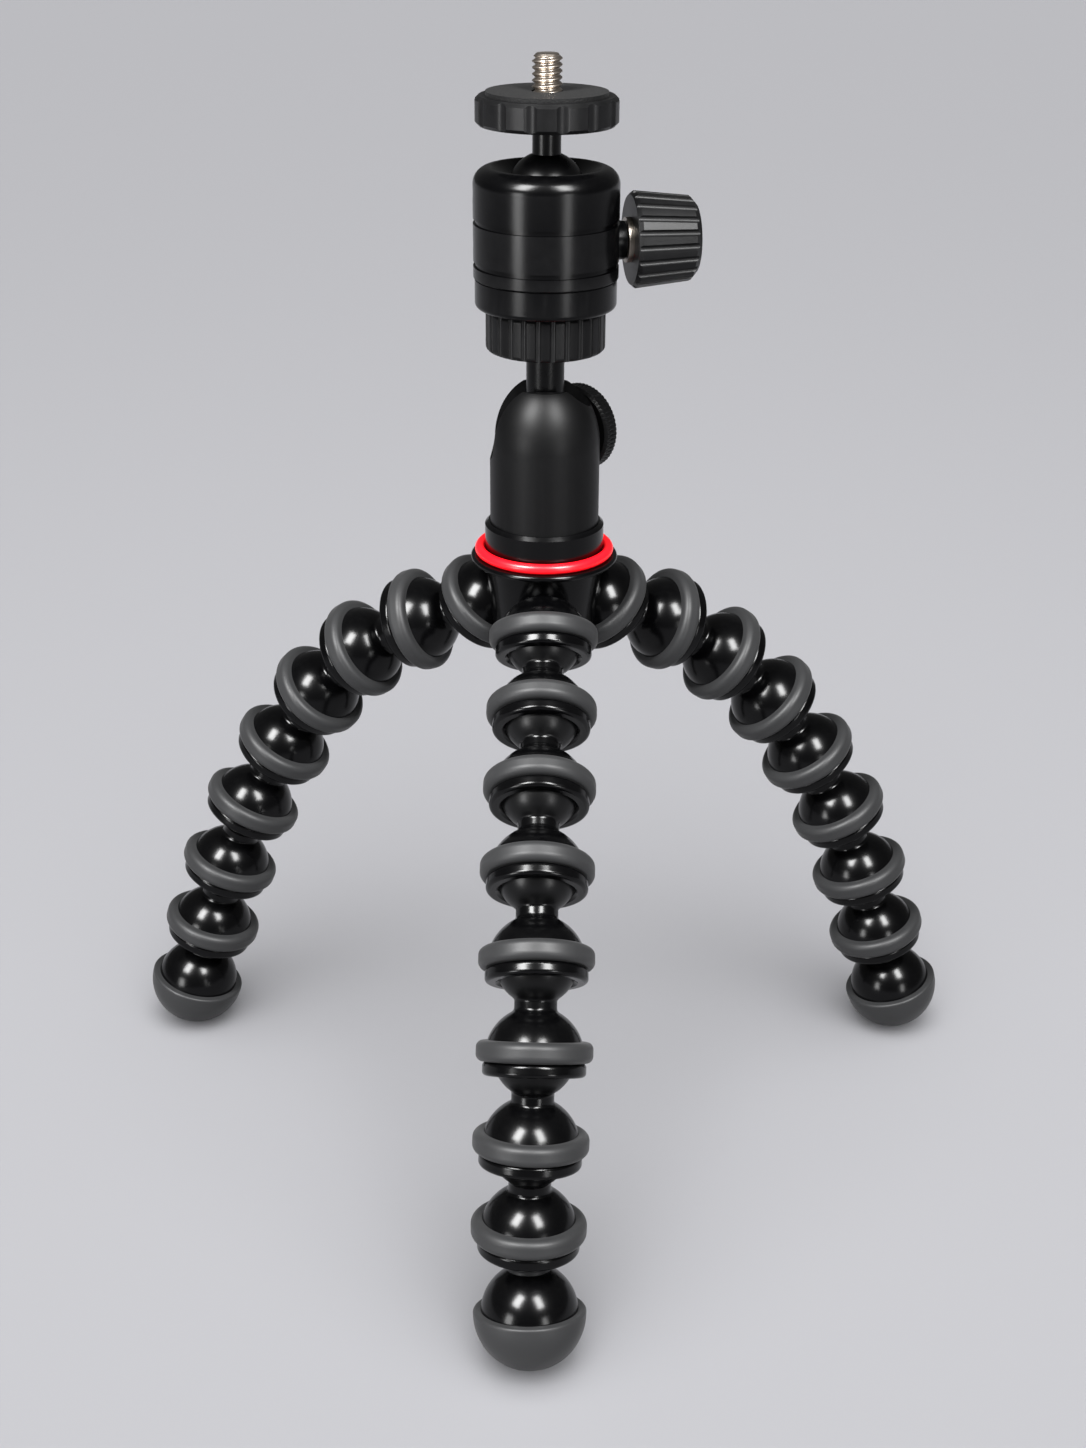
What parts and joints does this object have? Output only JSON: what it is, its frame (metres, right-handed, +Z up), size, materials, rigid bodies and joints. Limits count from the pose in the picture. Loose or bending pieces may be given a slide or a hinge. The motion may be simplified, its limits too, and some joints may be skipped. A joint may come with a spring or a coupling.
{
  "type": "flexible leg tripod",
  "caption": "Small tripod with bendable ball-jointed legs, rubber grip rings and feet, a lower ball head and an upper ball head with a camera disc and screw.",
  "frame": {"origin": "on the floor, at the middle of the box round the three feet", "axes": "+Z up along the head; -Y towards the front foot; +X to the right when seen from the front"},
  "size_m": [0.2112, 0.1549, 0.2544],
  "materials": {
    "gloss_black": "high gloss moulded plastic",
    "grip_rubber": "matt soft rubber",
    "red_ring": "glossy",
    "satin_black": "satin anodised",
    "black_steel": "semi-matt black",
    "knob_black": "matt moulded plastic",
    "nickel_steel": "bright nickel",
    "pad_rubber": "stippled rubber"
  },
  "bodies": {
    "hub": {"hub_body": "gloss_black", "hub_socket_rings": "grip_rubber", "accent_ring": "red_ring", "lower_head_housing": "satin_black"},
    "lower_stem": {"lower_ball_stem": "black_steel"},
    "lock_ring": {"lock_ring": "knob_black"},
    "lock_wheel": {"lock_wheel": "knob_black"},
    "upper_head": {"upper_head_base": "satin_black", "upper_head_body": "satin_black"},
    "clamp": {"clamp_screw": "nickel_steel", "clamp_knob": "knob_black"},
    "upper_stem": {"upper_ball_stem": "black_steel"},
    "camera_disc": {"camera_disc": "knob_black", "camera_pad": "pad_rubber", "camera_screw": "nickel_steel"},
    "front_link_1": {"link_front_1": "gloss_black", "ring_front_1": "grip_rubber"},
    "front_link_2": {"link_front_2": "gloss_black", "ring_front_2": "grip_rubber"},
    "front_link_3": {"link_front_3": "gloss_black", "ring_front_3": "grip_rubber"},
    "front_link_4": {"link_front_4": "gloss_black", "ring_front_4": "grip_rubber"},
    "front_link_5": {"link_front_5": "gloss_black", "ring_front_5": "grip_rubber"},
    "front_link_6": {"link_front_6": "gloss_black", "ring_front_6": "grip_rubber"},
    "front_link_7": {"link_front_7": "gloss_black", "ring_front_7": "grip_rubber"},
    "front_foot": {"foot_front": "grip_rubber"},
    "left_link_1": {"link_left_1": "gloss_black", "ring_left_1": "grip_rubber"},
    "left_link_2": {"link_left_2": "gloss_black", "ring_left_2": "grip_rubber"},
    "left_link_3": {"link_left_3": "gloss_black", "ring_left_3": "grip_rubber"},
    "left_link_4": {"link_left_4": "gloss_black", "ring_left_4": "grip_rubber"},
    "left_link_5": {"link_left_5": "gloss_black", "ring_left_5": "grip_rubber"},
    "left_link_6": {"link_left_6": "gloss_black", "ring_left_6": "grip_rubber"},
    "left_link_7": {"link_left_7": "gloss_black", "ring_left_7": "grip_rubber"},
    "left_foot": {"foot_left": "grip_rubber"},
    "right_link_1": {"link_right_1": "gloss_black", "ring_right_1": "grip_rubber"},
    "right_link_2": {"link_right_2": "gloss_black", "ring_right_2": "grip_rubber"},
    "right_link_3": {"link_right_3": "gloss_black", "ring_right_3": "grip_rubber"},
    "right_link_4": {"link_right_4": "gloss_black", "ring_right_4": "grip_rubber"},
    "right_link_5": {"link_right_5": "gloss_black", "ring_right_5": "grip_rubber"},
    "right_link_6": {"link_right_6": "gloss_black", "ring_right_6": "grip_rubber"},
    "right_link_7": {"link_right_7": "gloss_black", "ring_right_7": "grip_rubber"},
    "right_foot": {"foot_right": "grip_rubber"}
  },
  "joints": [
    {"name": "lower_ball_tilt", "type": "hinge", "parent": "hub", "child": "lower_stem", "pos_m": [-0.00069, 0.03634, 0.17212], "axis": [0, 1, 0], "range_deg": [-90, 30]},
    {"name": "upper_ball_tilt", "type": "hinge", "parent": "upper_head", "child": "upper_stem", "pos_m": [-0.00069, 0.03634, 0.22632], "axis": [1, 0, 0], "range_deg": [-25, 25]},
    {"name": "upper_head_turn", "type": "hinge", "parent": "lower_stem", "child": "upper_head", "pos_m": [-0.00069, 0.03634, 0.20172], "axis": [0, 0, 1], "range_deg": [-150, 150]},
    {"name": "camera_disc_turn", "type": "hinge", "parent": "upper_stem", "child": "camera_disc", "pos_m": [-0.00069, 0.03634, 0.24002], "axis": [0, 0, 1], "continuous": true},
    {"name": "clamp_knob_turn", "type": "hinge", "parent": "upper_head", "child": "clamp", "pos_m": [-0.00069, 0.03634, 0.21562], "axis": [0.9848, 0.1736, 0], "range_deg": [-270, 45]},
    {"name": "lock_wheel_turn", "type": "hinge", "parent": "hub", "child": "lock_wheel", "pos_m": [-0.00069, 0.03634, 0.17212], "axis": [0.6428, 0.766, 0], "range_deg": [-270, 45]},
    {"name": "lock_ring_turn", "type": "hinge", "parent": "lower_stem", "child": "lock_ring", "pos_m": [-0.00069, 0.03634, 0.19247], "axis": [0, 0, 1], "range_deg": [-360, 0]},
    {"name": "front_leg_ball_1", "type": "hinge", "parent": "hub", "child": "front_link_1", "pos_m": [-0.00069, 0.02034, 0.12962], "axis": [1, 0, 0], "range_deg": [-18, 40]},
    {"name": "front_leg_ball_2", "type": "hinge", "parent": "front_link_1", "child": "front_link_2", "pos_m": [-0.00102, 0.00509, 0.11812], "axis": [0, -0.5736, 0.8192], "range_deg": [-29, 29]},
    {"name": "front_leg_ball_3", "type": "hinge", "parent": "front_link_2", "child": "front_link_3", "pos_m": [-0.00136, -0.01056, 0.10717], "axis": [-1, 0, 0], "range_deg": [-26, 34]},
    {"name": "front_leg_ball_4", "type": "hinge", "parent": "front_link_3", "child": "front_link_4", "pos_m": [-0.00169, -0.0254, 0.09515], "axis": [0, 0.7314, -0.682], "range_deg": [-28, 30]},
    {"name": "front_leg_ball_5", "type": "hinge", "parent": "front_link_4", "child": "front_link_5", "pos_m": [-0.00169, -0.03842, 0.08118], "axis": [1, 0, 0], "range_deg": [-40, 18]},
    {"name": "front_leg_ball_6", "type": "hinge", "parent": "front_link_5", "child": "front_link_6", "pos_m": [-0.00202, -0.04854, 0.06499], "axis": [0, -0.9397, 0.342], "range_deg": [-26, 28]},
    {"name": "front_leg_ball_7", "type": "hinge", "parent": "front_link_6", "child": "front_link_7", "pos_m": [-0.00269, -0.05507, 0.04705], "axis": [-1, 0, 0], "range_deg": [-22, 36]},
    {"name": "front_leg_ball_8", "type": "hinge", "parent": "front_link_7", "child": "front_foot", "pos_m": [-0.00302, -0.05937, 0.02844], "axis": [0, 0.9397, -0.342], "range_deg": [-27, 31]},
    {"name": "left_leg_ball_1", "type": "hinge", "parent": "hub", "child": "left_link_1", "pos_m": [-0.01455, 0.04434, 0.12962], "axis": [-0.5, -0.866, 0], "range_deg": [-3, 54]},
    {"name": "left_leg_ball_2", "type": "hinge", "parent": "left_link_1", "child": "left_link_2", "pos_m": [-0.03099, 0.05076, 0.12232], "axis": [-0.4804, 0.2774, 0.832], "range_deg": [-24, 31]},
    {"name": "left_leg_ball_3", "type": "hinge", "parent": "left_link_2", "child": "left_link_3", "pos_m": [-0.04553, 0.05724, 0.11176], "axis": [0.5, 0.866, 0], "range_deg": [-17, 43]},
    {"name": "left_leg_ball_4", "type": "hinge", "parent": "left_link_3", "child": "left_link_4", "pos_m": [-0.05736, 0.06291, 0.09788], "axis": [0.7399, -0.4272, -0.5196], "range_deg": [-22, 32]},
    {"name": "left_leg_ball_5", "type": "hinge", "parent": "left_link_4", "child": "left_link_5", "pos_m": [-0.0672, 0.06552, 0.08173], "axis": [-0.5, -0.866, 0], "range_deg": [-36, 22]},
    {"name": "left_leg_ball_6", "type": "hinge", "parent": "left_link_5", "child": "left_link_6", "pos_m": [-0.07612, 0.06534, 0.06484], "axis": [-0.8222, 0.4747, 0.3141], "range_deg": [-26, 32]},
    {"name": "left_leg_ball_7", "type": "hinge", "parent": "left_link_6", "child": "left_link_7", "pos_m": [-0.08304, 0.06513, 0.04704], "axis": [0.5, 0.866, 0], "range_deg": [-27, 33]},
    {"name": "left_leg_ball_8", "type": "hinge", "parent": "left_link_7", "child": "left_foot", "pos_m": [-0.08869, 0.06532, 0.02879], "axis": [0.8392, -0.4845, -0.2471], "range_deg": [-29, 29]},
    {"name": "right_leg_ball_1", "type": "hinge", "parent": "hub", "child": "right_link_1", "pos_m": [0.01317, 0.04434, 0.12962], "axis": [-0.5, 0.866, 0], "range_deg": [-4, 55]},
    {"name": "right_leg_ball_2", "type": "hinge", "parent": "right_link_1", "child": "right_link_2", "pos_m": [0.02908, 0.05199, 0.12232], "axis": [0.5152, 0.2975, 0.8038], "range_deg": [-21, 31]},
    {"name": "right_leg_ball_3", "type": "hinge", "parent": "right_link_2", "child": "right_link_3", "pos_m": [0.0437, 0.05698, 0.1111], "axis": [0.5, -0.866, 0], "range_deg": [-20, 40]},
    {"name": "right_leg_ball_4", "type": "hinge", "parent": "right_link_3", "child": "right_link_4", "pos_m": [0.0567, 0.06028, 0.0975], "axis": [-0.7304, -0.4217, -0.5372], "range_deg": [-25, 30]},
    {"name": "right_leg_ball_5", "type": "hinge", "parent": "right_link_4", "child": "right_link_5", "pos_m": [0.06697, 0.06276, 0.08159], "axis": [-0.5, 0.866, 0], "range_deg": [-36, 24]},
    {"name": "right_leg_ball_6", "type": "hinge", "parent": "right_link_5", "child": "right_link_6", "pos_m": [0.07604, 0.06378, 0.06481], "axis": [0.8213, 0.4742, 0.3172], "range_deg": [-31, 26]},
    {"name": "right_leg_ball_7", "type": "hinge", "parent": "right_link_6", "child": "right_link_7", "pos_m": [0.08271, 0.06419, 0.04692], "axis": [0.5, -0.866, 0], "range_deg": [-28, 32]},
    {"name": "right_leg_ball_8", "type": "hinge", "parent": "right_link_7", "child": "right_foot", "pos_m": [0.08854, 0.06486, 0.02874], "axis": [-0.8346, -0.4818, -0.2671], "range_deg": [-29, 29]}
  ]
}
